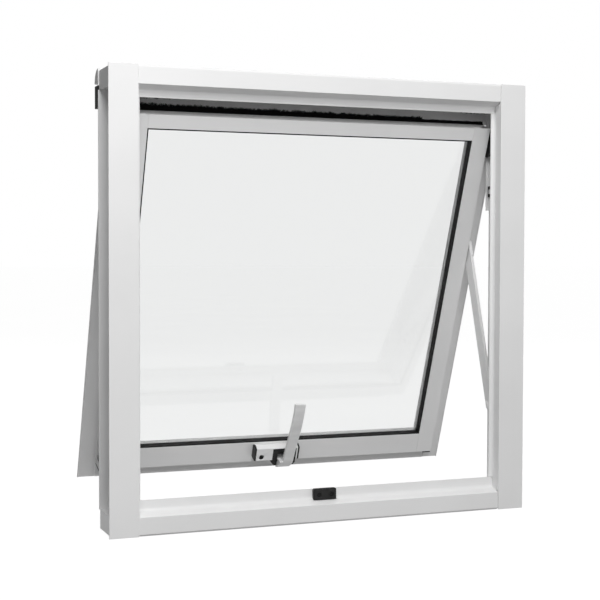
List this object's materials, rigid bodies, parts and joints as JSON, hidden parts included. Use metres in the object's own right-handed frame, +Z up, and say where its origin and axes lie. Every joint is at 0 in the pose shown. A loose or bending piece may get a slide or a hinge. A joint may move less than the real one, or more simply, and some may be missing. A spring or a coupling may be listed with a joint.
{
  "type": "top-hung projecting window",
  "caption": "Small top-hung projecting window: outer frame, glazed sash held open on side stays with sliding shoes, cam lever handle and keeper on the sill.",
  "frame": {"origin": "centre of the underside of the sill: middle of the frame width and of the frame depth, without the drip hood", "axes": "+X to the right seen from the room, +Y out of the room towards the weather side, +Z up"},
  "size_m": [0.6, 0.2474, 0.6],
  "materials": {
    "frame_paint": "white powder coat, satin",
    "sash_paint": "white powder coat, satin",
    "hood_paint": "white powder coat, satin",
    "stay_paint": "white powder coat, slightly greyer than the frame",
    "black_rubber": "matt black",
    "brush": "black woven pile",
    "black_nylon": "matt black moulding",
    "black_screw": "black oxide",
    "fixings": "zinc plated",
    "glass": "clear float glass",
    "handle": "silver lacquer"
  },
  "bodies": {
    "frame": {"jamb_left": "frame_paint", "jamb_right": "frame_paint", "head": "frame_paint", "sill": "frame_paint", "box_end_caps": "frame_paint", "frame_cleats": "fixings", "frame_cleat_screws": "fixings", "drip_hood": "hood_paint", "hood_rivets": "hood_paint", "hood_seal_left": "black_rubber", "hood_seal_right": "black_rubber", "head_pile": "brush", "rear_seal_left": "black_rubber", "rear_seal_right": "black_rubber", "rear_seal_sill": "black_rubber", "track_left": "frame_paint", "track_right": "frame_paint", "track_screws": "fixings", "track_stops": "black_nylon", "foot_bracket_left": "fixings", "foot_bracket_right": "fixings", "foot_bracket_screws": "black_screw", "foot_rivets": "fixings", "foot_washers": "black_nylon", "keeper": "black_nylon", "keeper_screws": "black_screw"},
    "stay_left": {"stay_left": "stay_paint"},
    "stay_right": {"stay_right": "stay_paint"},
    "shoe_left": {"shoe_left": "black_nylon"},
    "shoe_right": {"shoe_right": "black_nylon"},
    "sash": {"sash_stile_left": "sash_paint", "sash_stile_right": "sash_paint", "sash_top_rail": "sash_paint", "sash_bottom_rail": "sash_paint", "sash_screws": "fixings", "stile_plugs": "black_nylon", "glass_pane": "glass", "inner_gasket": "black_rubber", "outer_gasket": "black_rubber", "bead_left": "sash_paint", "bead_right": "sash_paint", "bead_top": "sash_paint", "bead_bottom": "sash_paint", "setting_blocks": "black_rubber", "sash_top_pile": "brush", "shoe_pins": "fixings", "stay_rivets": "fixings", "stay_washers": "black_nylon", "handle_bracket": "handle", "handle_end_caps": "black_nylon", "handle_liner": "black_nylon", "handle_screw": "black_screw", "lever_pin": "black_screw"},
    "lever": {"lever": "handle"}
  },
  "joints": [
    {"name": "stay_swing", "type": "hinge", "parent": "frame", "child": "stay_right", "pos_m": [0.2685, 0.0095, 0.1455], "axis": [-1, 0, 0], "range_deg": [-14.27, 7.6]},
    {"name": "sash_pivot", "type": "hinge", "parent": "stay_right", "child": "sash", "pos_m": [0.2685, 0.07954, 0.37502], "axis": [1, 0, 0], "range_deg": [-34.66, 18.48]},
    {"name": "shoe_right_pivot", "type": "hinge", "parent": "sash", "child": "shoe_right", "pos_m": [0.269, 0.0208, 0.53348], "axis": [1, 0, 0], "range_deg": [-10.88, 20.39]},
    {"name": "shoe_left_pivot", "type": "hinge", "parent": "sash", "child": "shoe_left", "pos_m": [-0.269, 0.0208, 0.53348], "axis": [1, 0, 0], "range_deg": [-10.88, 20.39]},
    {"name": "stay_left_swing", "type": "hinge", "parent": "frame", "child": "stay_left", "pos_m": [-0.2685, 0.0095, 0.1455], "axis": [-1, 0, 0], "range_deg": [-14.29, 7.62]},
    {"name": "lever_turn", "type": "hinge", "parent": "sash", "child": "lever", "pos_m": [0.014, 0.17584, 0.05482], "axis": [1, 0, 0], "range_deg": [0, 32]}
  ],
  "couplings": [
    {"joint": "sash_pivot", "follows": "stay_swing", "ratio": 2.4252},
    {"joint": "shoe_right_pivot", "follows": "stay_swing", "ratio": -1.4252},
    {"joint": "shoe_left_pivot", "follows": "stay_swing", "ratio": -1.4252},
    {"joint": "stay_left_swing", "follows": "stay_swing", "ratio": 1}
  ]
}
